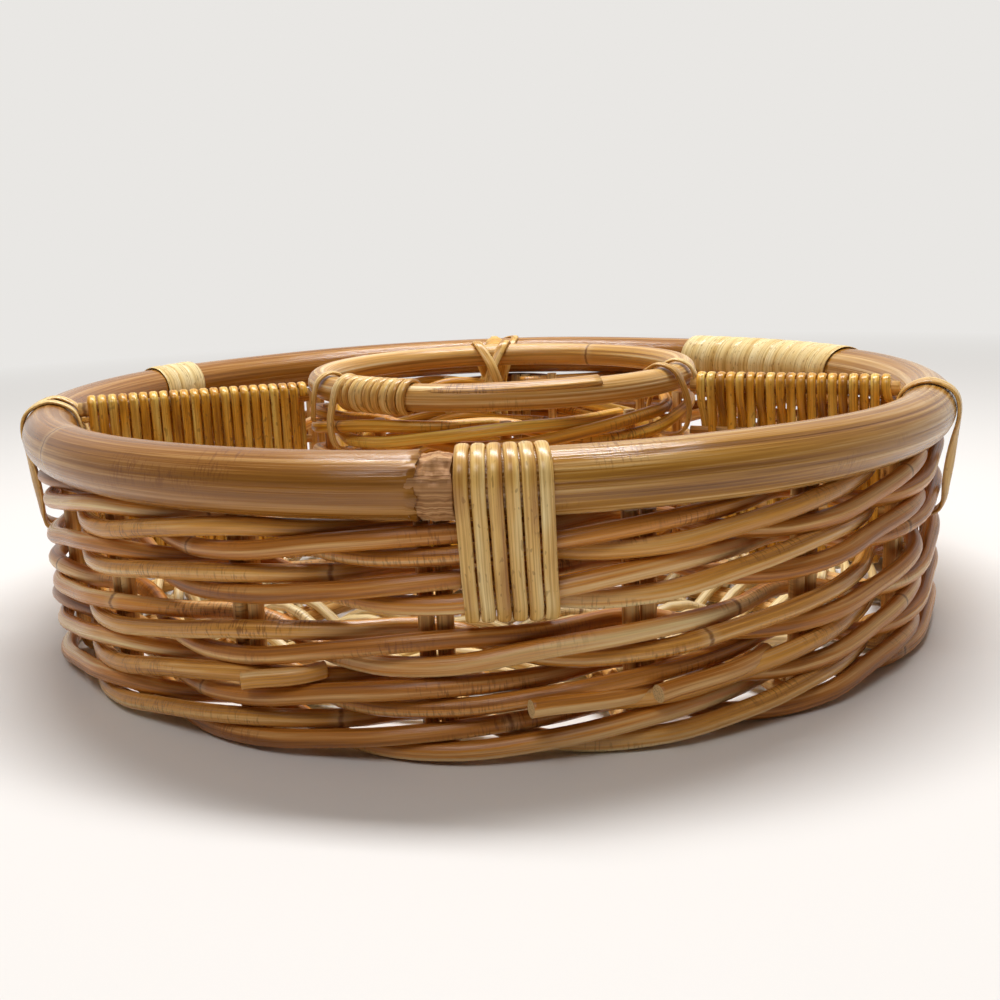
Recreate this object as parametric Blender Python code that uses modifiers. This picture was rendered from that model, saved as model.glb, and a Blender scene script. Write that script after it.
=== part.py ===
"""Round divided serving basket of bent rattan.

A thick rim pole stands on a wall of rods that run round pairs of upright stakes. Inside, a
smaller ring with a wall of its own makes the middle compartment, and three laced dividers join
it to the rim. Everything is bound with split cane, and nothing on it moves.

Metres, +Z up. The origin is the middle of the basket on the table, and the front is -Y.
"""

import math

import bmesh
import bpy
from mathutils import Vector

MM = 0.001
DEGREE = math.pi / 180
TURN = 2 * math.pi

# What neighbours keep between them, and the least that a winding keeps to itself.
CLEARANCE = 0.3 * MM
LEAST_WINDING_GAP = 0.4 * MM
MERGE_DISTANCE = 0.003 * MM

# Outer rim: two bent poles that meet at the front and at the back right.
RIM_RADIUS = 180 * MM
RIM_HEIGHT = 84.5 * MM
RIM_POLE = 20.8 * MM
RIM_JOINT_FRONT = -95 * DEGREE
RIM_JOINT_BACK = 34 * DEGREE
LEFT_POLE_STEPS = 38
RIGHT_POLE_STEPS = 22

# Outer wall: pairs of stakes, and three rods at a time woven round them.
STAKE = 5.4 * MM
STAKE_PAIRS = 18
STAKE_TURN = -96 * DEGREE
WEAVER = 6.2 * MM
WALL_PROUD = 6 * MM
WEAVE_STEP_START = 134 * DEGREE
UPPER_ROWS = 2
LEAST_OPEN_BAND = 4 * MM

# Floor: the stakes run in over a low crown to a round middle disc.
FLOOR_EDGE_LIFT = 0.6 * MM
FLOOR_CROWN = 9.5 * MM
FLOOR_CROWN_POWER = 4
STAKE_KINK = 3.5 * MM
DISC_THICKNESS = 6 * MM
DISC_EDGE_ROUND = 1.2 * MM
DISC_SIDES = 32
FLOOR_WEAVER = 4 * MM
FLOOR_WEAVE_PAST_RING = 12 * MM
FLOOR_WEAVE_INSIDE_RIM = 35 * MM
FLOOR_WEAVE_PITCH = 9.1 * MM

# Inner ring and the wall of the middle compartment.
RING_OFFSET = 5.4 * MM
RING_RADIUS = 78 * MM
RING_ABOVE_RIM = 10.8 * MM
RING_POLE = 10.6 * MM
RING_JOINT = 110 * DEGREE
RING_STEPS = 40
RING_STAKE = 4.5 * MM
RING_STAKES = 9
RING_STAKE_TURN = -50 * DEGREE
RING_WEAVER = 5.2 * MM
RING_OPEN_BAND = 5.8 * MM
RING_WEAVE_STEP_START = 30 * DEGREE

# Dividers: a top rail and a bottom rod, laced together with cane.
DIVIDER_ANGLES = {"left": 194.5 * DEGREE, "right": -23.5 * DEGREE, "back": 90.5 * DEGREE}
DIVIDER_RAIL = 6 * MM
DIVIDER_ROD = 5 * MM
RAIL_ABOVE_RIM = 7 * MM
DIVIDER_LACE = 3.2 * MM
DIVIDER_LACE_PITCH = 5.9 * MM

# Cane bindings.
CANE = 3.5 * MM
FRONT_BINDING_ANGLE = -89 * DEGREE
FRONT_BINDING_LOOPS = 6
FRONT_BINDING_PITCH = 4.4 * MM
END_BINDING_LOOPS = 2
END_BINDING_ROOM = 2 * MM
TIE = 3 * MM
TIE_LOOPS = 2
TIED_DIVIDERS = ("right", "back")
RING_WRAP_ANGLE = -128 * DEGREE
RING_WRAP_LOOPS = 8
RING_WRAP_PITCH = 4.1 * MM
FLAT_CANE = 1.3 * MM
SLEEVE_PLAY = 1.2 * MM
BACK_WRAP_ENDS = (16 * DEGREE, 51 * DEGREE)
SIDE_BAND_ENDS = (148 * DEGREE, 157.5 * DEGREE)

# Colours, in linear light.
PINK_TAN = (0.56, 0.32, 0.17)
OLIVE_TAN = (0.45, 0.28, 0.12)
HONEY = (0.50, 0.27, 0.08)
DARK_HONEY = (0.36, 0.17, 0.05)
PALE_CANE = (0.75, 0.62, 0.34)
ROUGHNESS = 0.45

# Sides of a tube, as curve bevel resolutions.
FOUR_SIDES = 0
SIX_SIDES = 1
EIGHT_SIDES = 2
TWELVE_SIDES = 4

# How finely the canes bend, and how finely their gaps are measured.
RIM_HUG_STEPS = 5
RIM_HUG_PAST = 10 * DEGREE
TIE_HUG_STEPS = 10
LACE_HUG_STEPS = 4
SLEEVE_STEPS_PER_STAKE = 6
LEAST_SLEEVE_STEPS = 3
GAP_STEPS = 4

# A rod of the wall passes outside two stakes, behind the next, and starts again. These are its
# place across and up the wall at each stake and half way between stakes.
SWING_SHARES = (0, 1, 1, 1, 0, -1)
RISE_SHARES = (0, 0, 0.5, 1, 1, 1)
WEAVE_STEP = 4

# Where one of two rods has moved in by half the swing, this share of the rise lies between them.
RISE_BETWEEN_RODS = 0.75

collection = bpy.data.collections.new("rattan_divided_basket")
cutters = bpy.data.collections.new("cutters")


def polar(angle, radius, height, offset=0.0):
    """A point at an angle and radius about the origin, moved sideways by an offset."""
    return Vector((
        radius * math.cos(angle) - offset * math.sin(angle),
        radius * math.sin(angle) + offset * math.cos(angle),
        height,
    ))


def finish(obj, colour, group=None):
    """Puts an object in its collection and gives it a material of its own."""
    for old in list(obj.users_collection):
        old.objects.unlink(obj)
    (group or collection).objects.link(obj)
    material = bpy.data.materials.new(obj.name)
    material.use_nodes = True
    shader = material.node_tree.nodes["Principled BSDF"]
    shader.inputs["Base Color"].default_value = (*colour, 1)
    shader.inputs["Roughness"].default_value = ROUGHNESS
    shader.inputs["Metallic"].default_value = 0
    obj.data.materials.clear()
    obj.data.materials.append(material)
    return obj


def tube(name, points, diameter, colour, sides=SIX_SIDES, group=None):
    """A rod or cane: a straight-sided curve through the points, with closed ends."""
    curve = bpy.data.curves.new(name, "CURVE")
    curve.dimensions = "3D"
    curve.bevel_depth = diameter / 2
    curve.bevel_resolution = sides
    curve.use_fill_caps = True
    curve.render_resolution_u = 0
    spline = curve.splines.new("POLY")
    spline.points.add(len(points) - 1)
    for item, point in zip(spline.points, points):
        item.co = (*point, 1)
    obj = bpy.data.objects.new(name, curve)
    return finish(obj, colour, group)


def arc(start, end, steps, radius, height, centre_x=0.0):
    """Points along a level arc about a centre on the X axis."""
    points = []
    for i in range(steps + 1):
        point = polar(start + (end - start) * i / steps, radius, height)
        point.x += centre_x
        points.append(point)
    return points


def rise_of(weaver, swing):
    """Height from the lower to the upper of the two rods outside a stake.

    They need it on the way to the next stake, where one has moved in by half the swing.
    """
    needed = weaver + CLEARANCE
    return math.sqrt(needed * needed - swing * swing / 4) / RISE_BETWEEN_RODS


def height_under(pole_height, pole, rod, sideways):
    """Height of a rod that touches the underside of a pole, so far to the side of it."""
    reach = (pole + rod) / 2 + CLEARANCE
    return pole_height - math.sqrt(reach * reach - sideways * sideways)


# The wall's swing leaves room for both stakes of a pair, beside the middle of which a rod is
# already on its way across.
WALL_OUTER_RADIUS = RIM_RADIUS + WALL_PROUD
STAKE_PITCH = STAKE + CLEARANCE
STAKE_SPACING = TURN / STAKE_PAIRS
STAKE_ROUND = (STAKE + WEAVER) / 2 + CLEARANCE
STAKE_GAP = WALL_OUTER_RADIUS * STAKE_SPACING / 2
WALL_SWING = STAKE_ROUND / (1 - STAKE_PITCH / 2 / STAKE_GAP) * math.hypot(1, STAKE_ROUND / STAKE_GAP)
STAKE_RADIUS = WALL_OUTER_RADIUS - WALL_SWING - WEAVER / 2
WALL_RISE = rise_of(WEAVER, WALL_SWING)
WALL_PITCH = WALL_RISE + WEAVER + CLEARANCE
UPPER_ROD_HEIGHT = height_under(RIM_HEIGHT, RIM_POLE, WEAVER, STAKE_RADIUS + WALL_SWING - RIM_RADIUS)
UPPER_BASE = UPPER_ROD_HEIGHT - WALL_RISE - (UPPER_ROWS - 1) * WALL_PITCH
LOWER_BASE = WEAVER / 2
LOWER_ROWS = int((UPPER_BASE - LOWER_BASE - LEAST_OPEN_BAND) / WALL_PITCH)
LOWER_TOP = LOWER_BASE + (LOWER_ROWS - 1) * WALL_PITCH + WALL_RISE + WEAVER / 2
UPPER_BOTTOM = UPPER_BASE - WEAVER / 2
WALL_INNER_RADIUS = STAKE_RADIUS - WALL_SWING - WEAVER / 2

RING_HEIGHT = RIM_HEIGHT + RING_ABOVE_RIM
DIVIDER_RAIL_HEIGHT = RIM_HEIGHT + RAIL_ABOVE_RIM
RING_SWING = (RING_STAKE + RING_WEAVER) / 2 + CLEARANCE
RING_RISE = rise_of(RING_WEAVER, RING_SWING)
RING_PITCH = RING_RISE + RING_WEAVER + CLEARANCE
RING_STAKE_RADIUS = RING_RADIUS - RING_POLE / 4
RING_BOUND = RING_POLE + 2 * (TIE + 2 * CLEARANCE)
RING_ROD_HEIGHT = height_under(
    RING_HEIGHT, RING_BOUND, RING_WEAVER, RING_STAKE_RADIUS + RING_SWING - RING_RADIUS)
RING_TOP_BASE = RING_ROD_HEIGHT - RING_RISE
RING_OUTER_RADIUS = RING_STAKE_RADIUS + RING_SWING + RING_WEAVER / 2
FLOOR_EDGE = FLOOR_EDGE_LIFT + STAKE / 2
HAIRPIN_RADIUS = STAKE_PAIRS * (2 * STAKE_PITCH) / TURN + STAKE / 2
FLOOR_WEAVE_INNER = RING_RADIUS + FLOOR_WEAVE_PAST_RING
FLOOR_WEAVE_OUTER = RIM_RADIUS - FLOOR_WEAVE_INSIDE_RIM


def floor_height(radius):
    """Height of the floor stakes' middle line: a low crown, flat near the middle."""
    share = radius / STAKE_RADIUS
    return FLOOR_EDGE + FLOOR_CROWN * (1 - share ** FLOOR_CROWN_POWER)


def floor_swing(radius):
    """How far a floor rod goes over and under the stakes: less further out, where it has more room."""
    touch = (STAKE + FLOOR_WEAVER) / 2 + CLEARANCE
    half_gap = radius * STAKE_SPACING / 2
    return touch / (1 - STAKE_PITCH / 2 / half_gap) * math.hypot(1, touch / half_gap)


def wale(name, strand, bases, stakes, first_stake, stake_radius, swing, rise, weaver, step_start,
         colour, sides, centre_x=0.0):
    """One of three rods woven together round a wall.

    It starts and ends behind a stake. From one turn to the next it climbs to the next row
    within two stakes, where all three rods climb together.
    """
    half_gap = TURN / stakes / 2
    turn_steps = 2 * stakes
    first = round((step_start - first_stake) / half_gap)
    points = []
    for i in range(WEAVE_STEP, turn_steps * len(bases) + 1):
        row, part = divmod(i, turn_steps)
        if part >= WEAVE_STEP:
            base = bases[row]
        elif part == 0:
            base = bases[row - 1]
        else:
            base = bases[row - 1] + (bases[row] - bases[row - 1]) * part / WEAVE_STEP
        phase = (first + i + 1 + 2 * strand) % len(SWING_SHARES)
        angle = first_stake + (first + i) * half_gap
        radius = stake_radius + swing * SWING_SHARES[phase]
        point = polar(angle, radius, base + rise * RISE_SHARES[phase])
        point.x += centre_x
        points.append((phase, point))
    behind = SWING_SHARES.index(-1)
    while points[0][0] != behind:
        points.pop(0)
    while points[-1][0] != behind:
        points.pop()
    return tube(name, [point for _, point in points], weaver, colour, sides)


def butt_ends(points, pole):
    """Draws both ends of a bent pole back, so that its square ends clear the next pole's."""
    for end, beside, before in ((0, 1, 2), (-1, -2, -3)):
        along = (points[beside] - points[end]).normalized()
        bend = along.angle(points[before] - points[beside])
        points[end] += along * (CLEARANCE / 2 + pole / 2 * math.tan(bend / 2))
    return points


def outer_rim():
    left = arc(RIM_JOINT_BACK, RIM_JOINT_FRONT + TURN, LEFT_POLE_STEPS, RIM_RADIUS, RIM_HEIGHT)
    right = arc(RIM_JOINT_FRONT, RIM_JOINT_BACK, RIGHT_POLE_STEPS, RIM_RADIUS, RIM_HEIGHT)
    tube("rim_pole_left", butt_ends(left, RIM_POLE), RIM_POLE, PINK_TAN, TWELVE_SIDES)
    tube("rim_pole_right", butt_ends(right, RIM_POLE), RIM_POLE, OLIVE_TAN, TWELVE_SIDES)


def stakes_and_floor():
    top = RIM_HEIGHT - RIM_POLE / 2 - CLEARANCE
    side = STAKE_PITCH / 2
    middle = (FLOOR_WEAVE_OUTER + FLOOR_WEAVE_INNER) / 2
    profile = [
        (STAKE_RADIUS, top),
        (STAKE_RADIUS, FLOOR_EDGE + STAKE_KINK),
        (STAKE_RADIUS - STAKE_KINK, FLOOR_EDGE),
        (FLOOR_WEAVE_OUTER, floor_height(FLOOR_WEAVE_OUTER)),
        (middle, floor_height(middle)),
        (FLOOR_WEAVE_INNER, floor_height(FLOOR_WEAVE_INNER)),
        (HAIRPIN_RADIUS + side, floor_height(HAIRPIN_RADIUS)),
    ]
    for k in range(STAKE_PAIRS):
        angle = STAKE_TURN + k * STAKE_SPACING
        leg = [polar(angle, radius, height, side) for radius, height in profile]
        back = [polar(angle, radius, height, -side) for radius, height in reversed(profile)]
        bend = polar(angle, HAIRPIN_RADIUS, floor_height(HAIRPIN_RADIUS))
        tube(f"stake_{k + 1:02d}", leg + [bend] + back, STAKE, HONEY, FOUR_SIDES)


def floor_disc():
    """The round of wood in the middle of the floor, where the stakes turn back."""
    radius = HAIRPIN_RADIUS - STAKE / 2 - CLEARANCE
    bpy.ops.mesh.primitive_cylinder_add(
        vertices=DISC_SIDES, radius=radius, depth=DISC_THICKNESS,
        location=(0, 0, floor_height(HAIRPIN_RADIUS)))
    disc = bpy.context.object
    disc.name = "floor_disc"
    bevel = disc.modifiers.new("edge", "BEVEL")
    bevel.width = DISC_EDGE_ROUND
    bevel.segments = 1
    finish(disc, HONEY)


def floor_weavers():
    """Two rods that chase each other round the floor, one over a stake where the other is under."""
    turns = (FLOOR_WEAVE_OUTER - FLOOR_WEAVE_INNER) / FLOOR_WEAVE_PITCH - 1 / 2
    steps = int(turns * STAKE_PAIRS)
    for strand in range(2):
        points = []
        for i in range(steps + 1):
            radius = FLOOR_WEAVE_INNER + FLOOR_WEAVE_PITCH * (i / STAKE_PAIRS + strand / 2)
            swing = floor_swing(radius) if (i + strand) % 2 else -floor_swing(radius)
            points.append(polar(STAKE_TURN + i * STAKE_SPACING, radius, floor_height(radius) + swing))
        tube(f"floor_weaver_{strand + 1}", points, FLOOR_WEAVER, DARK_HONEY, FOUR_SIDES)


def outer_weave():
    rods = (
        ("lower", [LOWER_BASE + row * WALL_PITCH for row in range(LOWER_ROWS)]),
        ("upper", [UPPER_BASE + row * WALL_PITCH for row in range(UPPER_ROWS)]),
    )
    for band, bases in rods:
        for strand in range(3):
            wale(f"{band}_weaver_{strand + 1}", strand, bases, STAKE_PAIRS, STAKE_TURN, STAKE_RADIUS,
                 WALL_SWING, WALL_RISE, WEAVER, WEAVE_STEP_START, HONEY, SIX_SIDES)


def inner_ring():
    points = arc(RING_JOINT, RING_JOINT + TURN, RING_STEPS, RING_RADIUS, RING_HEIGHT, RING_OFFSET)
    tube("inner_ring_pole", butt_ends(points, RING_POLE), RING_POLE, OLIVE_TAN, EIGHT_SIDES)

    highest = RING_HEIGHT - RING_BOUND / 2 - CLEARANCE
    bottom = floor_height(HAIRPIN_RADIUS) + STAKE / 2 + CLEARANCE
    for k in range(RING_STAKES):
        angle = RING_STAKE_TURN + k * TURN / RING_STAKES
        foot = polar(angle, RING_STAKE_RADIUS, bottom)
        head = polar(angle, RING_STAKE_RADIUS, highest)
        foot.x += RING_OFFSET
        head.x += RING_OFFSET
        tube(f"inner_stake_{k + 1}", [foot, head], RING_STAKE, HONEY, SIX_SIDES)

    bases = [RING_TOP_BASE]
    base = RING_TOP_BASE - RING_WEAVER - RING_OPEN_BAND - RING_RISE
    floor_top = floor_height(FLOOR_WEAVE_INNER) + floor_swing(FLOOR_WEAVE_INNER) + FLOOR_WEAVER / 2
    while base > floor_top + RING_WEAVER / 2:
        bases.insert(0, base)
        base -= RING_PITCH
    for strand in range(3):
        wale(f"inner_weaver_{strand + 1}", strand, bases, RING_STAKES, RING_STAKE_TURN,
             RING_STAKE_RADIUS, RING_SWING, RING_RISE, RING_WEAVER, RING_WEAVE_STEP_START,
             DARK_HONEY, FOUR_SIDES, RING_OFFSET)


def loop_gap(points, diameter, per_loop):
    """The least gap between the parts of a winding that lie half a loop or more apart."""
    least = None
    for i, first in enumerate(points[:-1]):
        for second_index in range(i + per_loop // 2, len(points) - 1):
            apart = segment_distance(first, points[i + 1], points[second_index], points[second_index + 1])
            if least is None or apart < least:
                least = apart
    return least - diameter


def segment_distance(a, b, c, d):
    """Least distance between two straight stretches, taken at steps along both."""
    least = None
    for i in range(GAP_STEPS + 1):
        p = a.lerp(b, i / GAP_STEPS)
        along = d - c
        share = max(0, min(1, (p - c).dot(along) / along.length_squared))
        apart = (p - c - along * share).length
        if least is None or apart < least:
            least = apart
    return least


def winding(name, section, centre_line, loops, diameter, sides, colour):
    """One unbroken cane: a closed section in (out, up) swept along a line as it goes round.

    centre_line gives, for a share of the winding's length, a point, the way out and the way up.
    """
    per_loop = len(section)
    total = per_loop * loops
    points = []
    for i in range(total + 1):
        out_by, up_by = section[i % per_loop]
        point, outward, upward = centre_line(i / total)
        points.append(point + outward * out_by + upward * up_by)
    gap = loop_gap(points, diameter, per_loop)
    print(f"{name}: least gap to itself {gap / MM:.2f} mm")
    assert gap > LEAST_WINDING_GAP
    return tube(name, points, diameter, colour, sides)


def over_pole(pole, cane, steps, first, last):
    """Points of a cane's middle line that hugs a pole, from one angle to another."""
    step = (last - first) / steps
    radius = ((pole + cane) / 2 + CLEARANCE) / math.cos(step / 2)
    return [(radius * math.cos(first + step * i), radius * math.sin(first + step * i))
            for i in range(steps + 1)]


def rim_section(cane):
    """A cane's way round the rim, down the wall and back through the open band of the stakes."""
    over = over_pole(RIM_POLE, cane, RIM_HUG_STEPS, -RIM_HUG_PAST, TURN / 2 + RIM_HUG_PAST)
    room = cane / 2 + CLEARANCE
    under = (LOWER_TOP + UPPER_BOTTOM) / 2 - RIM_HEIGHT
    outside = WALL_OUTER_RADIUS + room - RIM_RADIUS
    inside = WALL_INNER_RADIUS - room - RIM_RADIUS
    turn = cane
    return over + [
        (inside, UPPER_ROD_HEIGHT - RIM_HEIGHT),
        (inside, under + turn),
        (inside + turn, under),
        (outside - turn, under),
        (outside, under + turn),
        (outside, UPPER_ROD_HEIGHT - RIM_HEIGHT),
    ]


def round_line(angle, length, radius, height, centre_x=0.0):
    """The line that a binding on a ring is wound along, round the ring."""
    def at(share):
        here = angle + (share - 0.5) * length / radius
        middle = polar(here, radius, height)
        middle.x += centre_x
        return middle, polar(here, 1, 0), Vector((0, 0, 1))
    return at


def bindings():
    winding("front_binding", rim_section(CANE),
            round_line(FRONT_BINDING_ANGLE, FRONT_BINDING_LOOPS * FRONT_BINDING_PITCH,
                       RIM_RADIUS, RIM_HEIGHT),
            FRONT_BINDING_LOOPS, CANE, SIX_SIDES, PALE_CANE)
    hug = over_pole(RING_POLE, TIE, TIE_HUG_STEPS, TURN / 2, TURN / 2 + TURN)[:-1]
    winding("inner_ring_wrap", hug,
            round_line(RING_WRAP_ANGLE, RING_WRAP_LOOPS * RING_WRAP_PITCH,
                       RING_RADIUS, RING_HEIGHT, RING_OFFSET),
            RING_WRAP_LOOPS, TIE, FOUR_SIDES, PALE_CANE)
    pitch = DIVIDER_RAIL + 2 * TIE
    for name in TIED_DIVIDERS:
        winding(f"{name}_ring_tie", hug,
                round_line(DIVIDER_ANGLES[name], TIE_LOOPS * pitch, RING_RADIUS, RING_HEIGHT, RING_OFFSET),
                TIE_LOOPS, TIE, FOUR_SIDES, PALE_CANE)


def weave_space():
    """A cutter that fills everything up to the top of the woven rods."""
    top = UPPER_ROD_HEIGHT + WEAVER / 2 + CLEARANCE
    bpy.ops.mesh.primitive_cylinder_add(
        vertices=DISC_SIDES, radius=RIM_RADIUS + RIM_POLE, depth=top, location=(0, 0, top / 2))
    space = bpy.context.object
    space.name = "weave_space"
    finish(space, HONEY, cutters)
    space.hide_render = True
    space.display_type = "WIRE"
    return space


def sleeve(name, ends, space):
    """A flat cane laid turn on turn round the rim pole, as one skin, open over the wall."""
    steps = max(LEAST_SLEEVE_STEPS, round((ends[1] - ends[0]) / STAKE_SPACING * SLEEVE_STEPS_PER_STAKE))
    bore_size = RIM_POLE + SLEEVE_PLAY
    outer_size = bore_size + 2 * FLAT_CANE
    outside = tube(name, arc(*ends, steps, RIM_RADIUS, RIM_HEIGHT), outer_size, PALE_CANE, TWELVE_SIDES)
    past = FLAT_CANE / RIM_RADIUS
    inside = tube(f"{name}_bore", arc(ends[0] - past, ends[1] + past, steps, RIM_RADIUS, RIM_HEIGHT),
                  bore_size, PALE_CANE, TWELVE_SIDES, cutters)
    solid = as_mesh(outside)
    bore = as_mesh(inside, cutters)
    for cutter in (bore, space):
        cut = solid.modifiers.new(cutter.name, "BOOLEAN")
        cut.operation = "DIFFERENCE"
        cut.object = cutter
    bore.hide_render = True
    bore.display_type = "WIRE"


def as_mesh(obj, group=None):
    """Turns a tube into a closed mesh under the same name."""
    name = obj.name
    colour = obj.data.materials[0].node_tree.nodes["Principled BSDF"].inputs["Base Color"].default_value[:3]
    bpy.context.view_layer.update()
    mesh = bpy.data.meshes.new_from_object(obj.evaluated_get(bpy.context.evaluated_depsgraph_get()))
    edit = bmesh.new()
    edit.from_mesh(mesh)
    bmesh.ops.remove_doubles(edit, verts=edit.verts, dist=MERGE_DISTANCE)
    edit.to_mesh(mesh)
    edit.free()
    bpy.data.objects.remove(obj)
    return finish(bpy.data.objects.new(name, mesh), colour, group)


def divider(name, angle):
    """A rail just below the rim, a rod near the floor, and cane laced round both."""
    outward = polar(angle, 1, 0)
    centre = Vector((RING_OFFSET, 0, 0))

    def reach(radius):
        """How far along the divider the circle of this radius about the origin is."""
        across = centre.dot(outward)
        return -across + math.sqrt(across * across - centre.length_squared + radius * radius)

    rail_in = RING_RADIUS + RING_POLE / 2 + CLEARANCE
    rail_out = reach(RIM_RADIUS - RIM_POLE / 2) - CLEARANCE
    rod_in = RING_OUTER_RADIUS + CLEARANCE
    rod_out = reach(WALL_INNER_RADIUS) - CLEARANCE
    rod_height = floor_height(FLOOR_WEAVE_INNER) + STAKE / 2 + FLOOR_WEAVER + DIVIDER_LACE + DIVIDER_ROD
    up = Vector((0, 0, 1))
    rail = [centre + outward * d + up * DIVIDER_RAIL_HEIGHT for d in (rail_in, rail_out)]
    rod = [centre + outward * d + up * rod_height for d in (rod_in, rod_out)]
    tube(f"{name}_divider_rail", rail, DIVIDER_RAIL, HONEY, SIX_SIDES)
    tube(f"{name}_divider_rod", rod, DIVIDER_ROD, HONEY, SIX_SIDES)

    over = over_pole(DIVIDER_RAIL, DIVIDER_LACE, LACE_HUG_STEPS, 0, TURN / 2)
    under = over_pole(DIVIDER_ROD, DIVIDER_LACE, LACE_HUG_STEPS, TURN / 2, TURN)
    drop = rod_height - DIVIDER_RAIL_HEIGHT
    section = over + [(out_by, up_by + drop) for out_by, up_by in under]
    start = rod_in + TIE + DIVIDER_LACE + CLEARANCE
    end = rod_out - DIVIDER_LACE - END_BINDING_ROOM
    sideways = Vector((-outward.y, outward.x, 0))

    def line(share):
        return centre + outward * (start + (end - start) * share) + up * DIVIDER_RAIL_HEIGHT, sideways, up

    loops = int((end - start) / DIVIDER_LACE_PITCH)
    winding(f"{name}_divider_lacing", section, line, loops, DIVIDER_LACE, FOUR_SIDES, PALE_CANE)


def divider_bindings():
    """Where a divider meets the rim and the ring, canes pass on both sides of its rail."""
    for name, angle in DIVIDER_ANGLES.items():
        far = Vector((RING_OFFSET, 0, 0)) + polar(angle, RIM_RADIUS, 0)
        at_rim = math.atan2(far.y, far.x)
        pitch = DIVIDER_RAIL + CANE + 2 * DIVIDER_LACE
        winding(f"{name}_rim_binding", rim_section(CANE),
                round_line(at_rim, END_BINDING_LOOPS * pitch, RIM_RADIUS, RIM_HEIGHT),
                END_BINDING_LOOPS, CANE, SIX_SIDES, PALE_CANE)


bpy.ops.object.select_all(action="DESELECT")
for old in list(bpy.data.objects):
    bpy.data.objects.remove(old)
bpy.context.scene.collection.children.link(collection)
bpy.context.scene.collection.children.link(cutters)

outer_rim()
stakes_and_floor()
floor_disc()
floor_weavers()
outer_weave()
inner_ring()
for divider_name, divider_angle in DIVIDER_ANGLES.items():
    divider(divider_name, divider_angle)
bindings()
divider_bindings()
rods_space = weave_space()
sleeve("back_wrap", BACK_WRAP_ENDS, rods_space)
sleeve("side_band", SIDE_BAND_ENDS, rods_space)
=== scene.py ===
"""Round divided serving basket of bent rattan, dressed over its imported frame."""

import math

import bpy
from mathutils import Matrix, Vector


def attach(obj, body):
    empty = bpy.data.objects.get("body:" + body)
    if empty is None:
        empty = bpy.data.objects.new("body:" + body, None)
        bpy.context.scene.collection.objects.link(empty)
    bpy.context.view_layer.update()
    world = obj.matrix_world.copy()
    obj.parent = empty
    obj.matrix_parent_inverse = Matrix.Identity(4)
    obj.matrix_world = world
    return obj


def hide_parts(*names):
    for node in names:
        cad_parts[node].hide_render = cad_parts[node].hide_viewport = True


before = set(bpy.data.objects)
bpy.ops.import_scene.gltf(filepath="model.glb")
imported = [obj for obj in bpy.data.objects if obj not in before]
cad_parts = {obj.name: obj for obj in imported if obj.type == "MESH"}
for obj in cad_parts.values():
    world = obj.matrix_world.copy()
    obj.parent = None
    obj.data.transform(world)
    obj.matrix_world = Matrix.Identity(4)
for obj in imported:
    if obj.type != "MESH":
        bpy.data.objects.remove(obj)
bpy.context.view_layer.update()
bpy.ops.object.select_all(action="DESELECT")


# Camera, lamps and floor.
# The camera stands low in front and looks a little down, turned slightly on its own axis. The
# light is soft: a long white lamp over the back, a weak one in front, and a glow from behind.

eye = (0, -0.49987, 0.15302)
right = Vector((0.99933, -0.01347, -0.03417))
upward = Vector((0.03631, 0.22288, 0.97417))
forward = Vector((0.00551, 0.97475, -0.22322))
turned = Matrix((right, upward, -forward)).transposed().to_4x4()
bpy.ops.object.camera_add(location=(0, 0, 0))
camera = bpy.context.object
camera.matrix_world = Matrix.Translation(eye) @ turned
camera.data.sensor_width = 36
camera.data.lens = 41.4
camera.data.clip_start = 0.01
bpy.context.scene.camera = camera


def linear(colour):
    """A colour written as sRGB hex, as linear light."""
    parts = [int(colour[i:i + 2], 16) / 255 for i in (1, 3, 5)]
    return [c / 12.92 if c <= 0.04045 else ((c + 0.055) / 1.055) ** 2.4 for c in parts] + [1]


def add(tree, kind, inputs=(), stops=(), **settings):
    """Adds a node, sets its options and colour stops, and fills or links its inputs."""
    made = tree.nodes.new("ShaderNode" + kind)
    for name, value in settings.items():
        setattr(made, name, value)
    for name, value in dict(inputs).items():
        if isinstance(value, bpy.types.NodeSocket):
            tree.links.new(value, made.inputs[name])
        else:
            made.inputs[name].default_value = value
    for place, (position, colour) in enumerate(stops):
        ramp = made.color_ramp.elements
        stop = ramp[place] if place < 2 else ramp.new(position)
        stop.position = position
        stop.color = linear(colour)
    return made


# The sky is brightest behind the basket and nearly dark behind the camera. The camera sees a
# plain pale backdrop instead, and gloss mirrors that backdrop, brighter than the light it gives.
mirrored = 1.9
world = bpy.data.worlds.new("studio")
bpy.context.scene.world = world
world.use_nodes = True
tree = world.node_tree
tree.nodes.clear()
ray = add(tree, "LightPath")
place = add(tree, "TexCoord")
parts = add(tree, "SeparateXYZ", {0: place.outputs["Generated"]})
behind = add(tree, "MapRange", {"Value": parts.outputs["Y"], "From Min": -0.6, "From Max": 0.8,
                                "To Min": 0.05, "To Max": 0.5})
sky = add(tree, "Background", {"Color": linear("#F8EADA"), "Strength": behind.outputs[0]})
shone = add(tree, "Math", {0: behind.outputs[0], 1: mirrored}, operation="MULTIPLY")
bright = add(tree, "Math", {0: ray.outputs["Is Camera Ray"], 1: shone.outputs[0]},
             operation="MAXIMUM")
pale = add(tree, "Background", {"Color": linear("#E9E7E4"), "Strength": bright.outputs[0]})
seen = add(tree, "Math", {0: ray.outputs["Is Camera Ray"], 1: ray.outputs["Is Glossy Ray"]},
           operation="MAXIMUM")
mixed = add(tree, "MixShader", {0: seen.outputs[0], 1: sky.outputs[0], 2: pale.outputs[0]})
add(tree, "OutputWorld", {"Surface": mixed.outputs[0]})

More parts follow.
